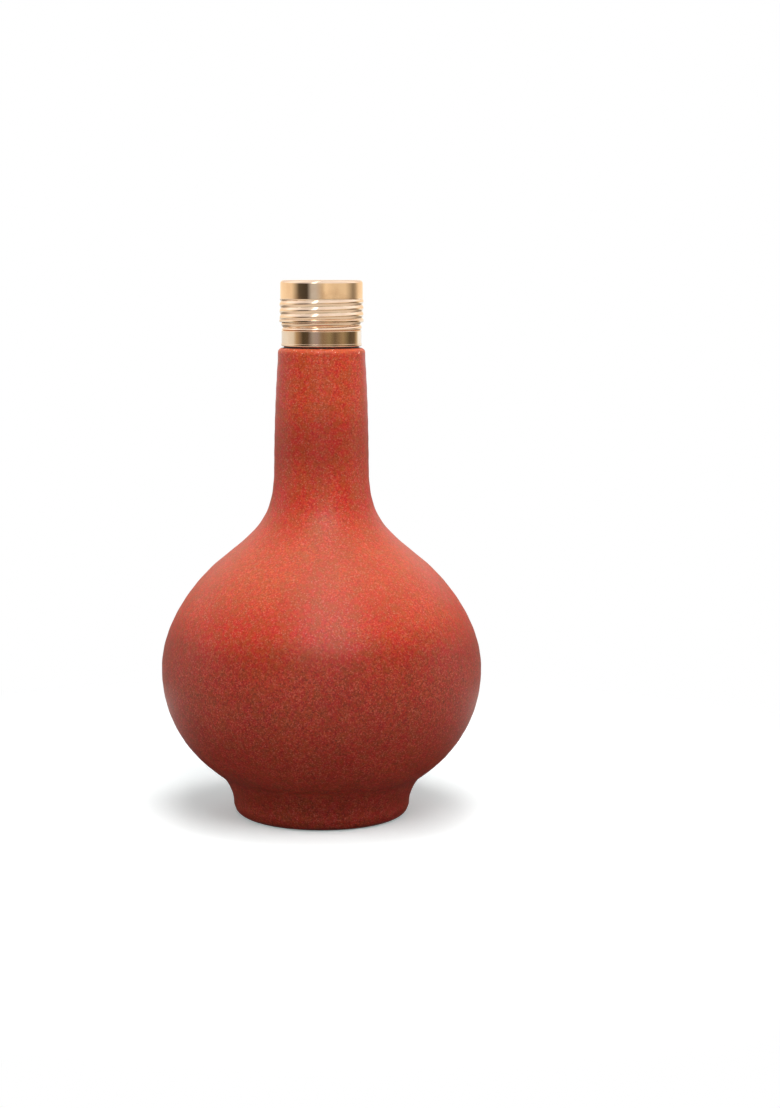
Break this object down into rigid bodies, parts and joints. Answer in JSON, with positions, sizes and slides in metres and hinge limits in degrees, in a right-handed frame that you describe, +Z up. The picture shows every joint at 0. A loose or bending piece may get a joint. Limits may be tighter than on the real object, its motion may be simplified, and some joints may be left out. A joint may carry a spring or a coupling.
{
  "type": "clay water bottle",
  "caption": "Long-necked round clay bottle for drinking water, with a gold-tone metal neck collar and a rolled-thread screw cap.",
  "frame": {"origin": "centre of the foot ring, on the surface that the bottle stands on", "axes": "+Z up along the neck and the cap's screw axis, -Y towards the picture's camera, +X to its right"},
  "size_m": [0.15, 0.15, 0.25],
  "materials": {
    "fired_clay": "matte unglazed red earthenware with a fine grain",
    "set_cement": "matte set cement",
    "washer_rubber": "matte black rubber",
    "collar_metal": "polished gold-tone anodised",
    "gasket_silicone": "smooth milky silicone",
    "cap_metal": "polished gold-tone anodised sheet"
  },
  "bodies": {
    "bottle": {"clay_bottle": "fired_clay", "cement_bond": "set_cement", "rim_washer": "washer_rubber", "neck_collar": "collar_metal"},
    "gasket": {"cap_gasket": "gasket_silicone"},
    "cap": {"cap_shell": "cap_metal"}
  },
  "joints": [
    {"name": "cap_rise", "type": "slide", "parent": "bottle", "child": "gasket", "axis": [0, 0, 1], "range_m": [0, 0.018]},
    {"name": "cap_turn", "type": "hinge", "parent": "gasket", "child": "cap", "pos_m": [0, 0, 0.2404], "axis": [0, 0, 1], "range_deg": [0, 2160]}
  ],
  "couplings": [
    {"joint": "cap_rise", "follows": "cap_turn", "m_per_rad": 0.00047746}
  ]
}
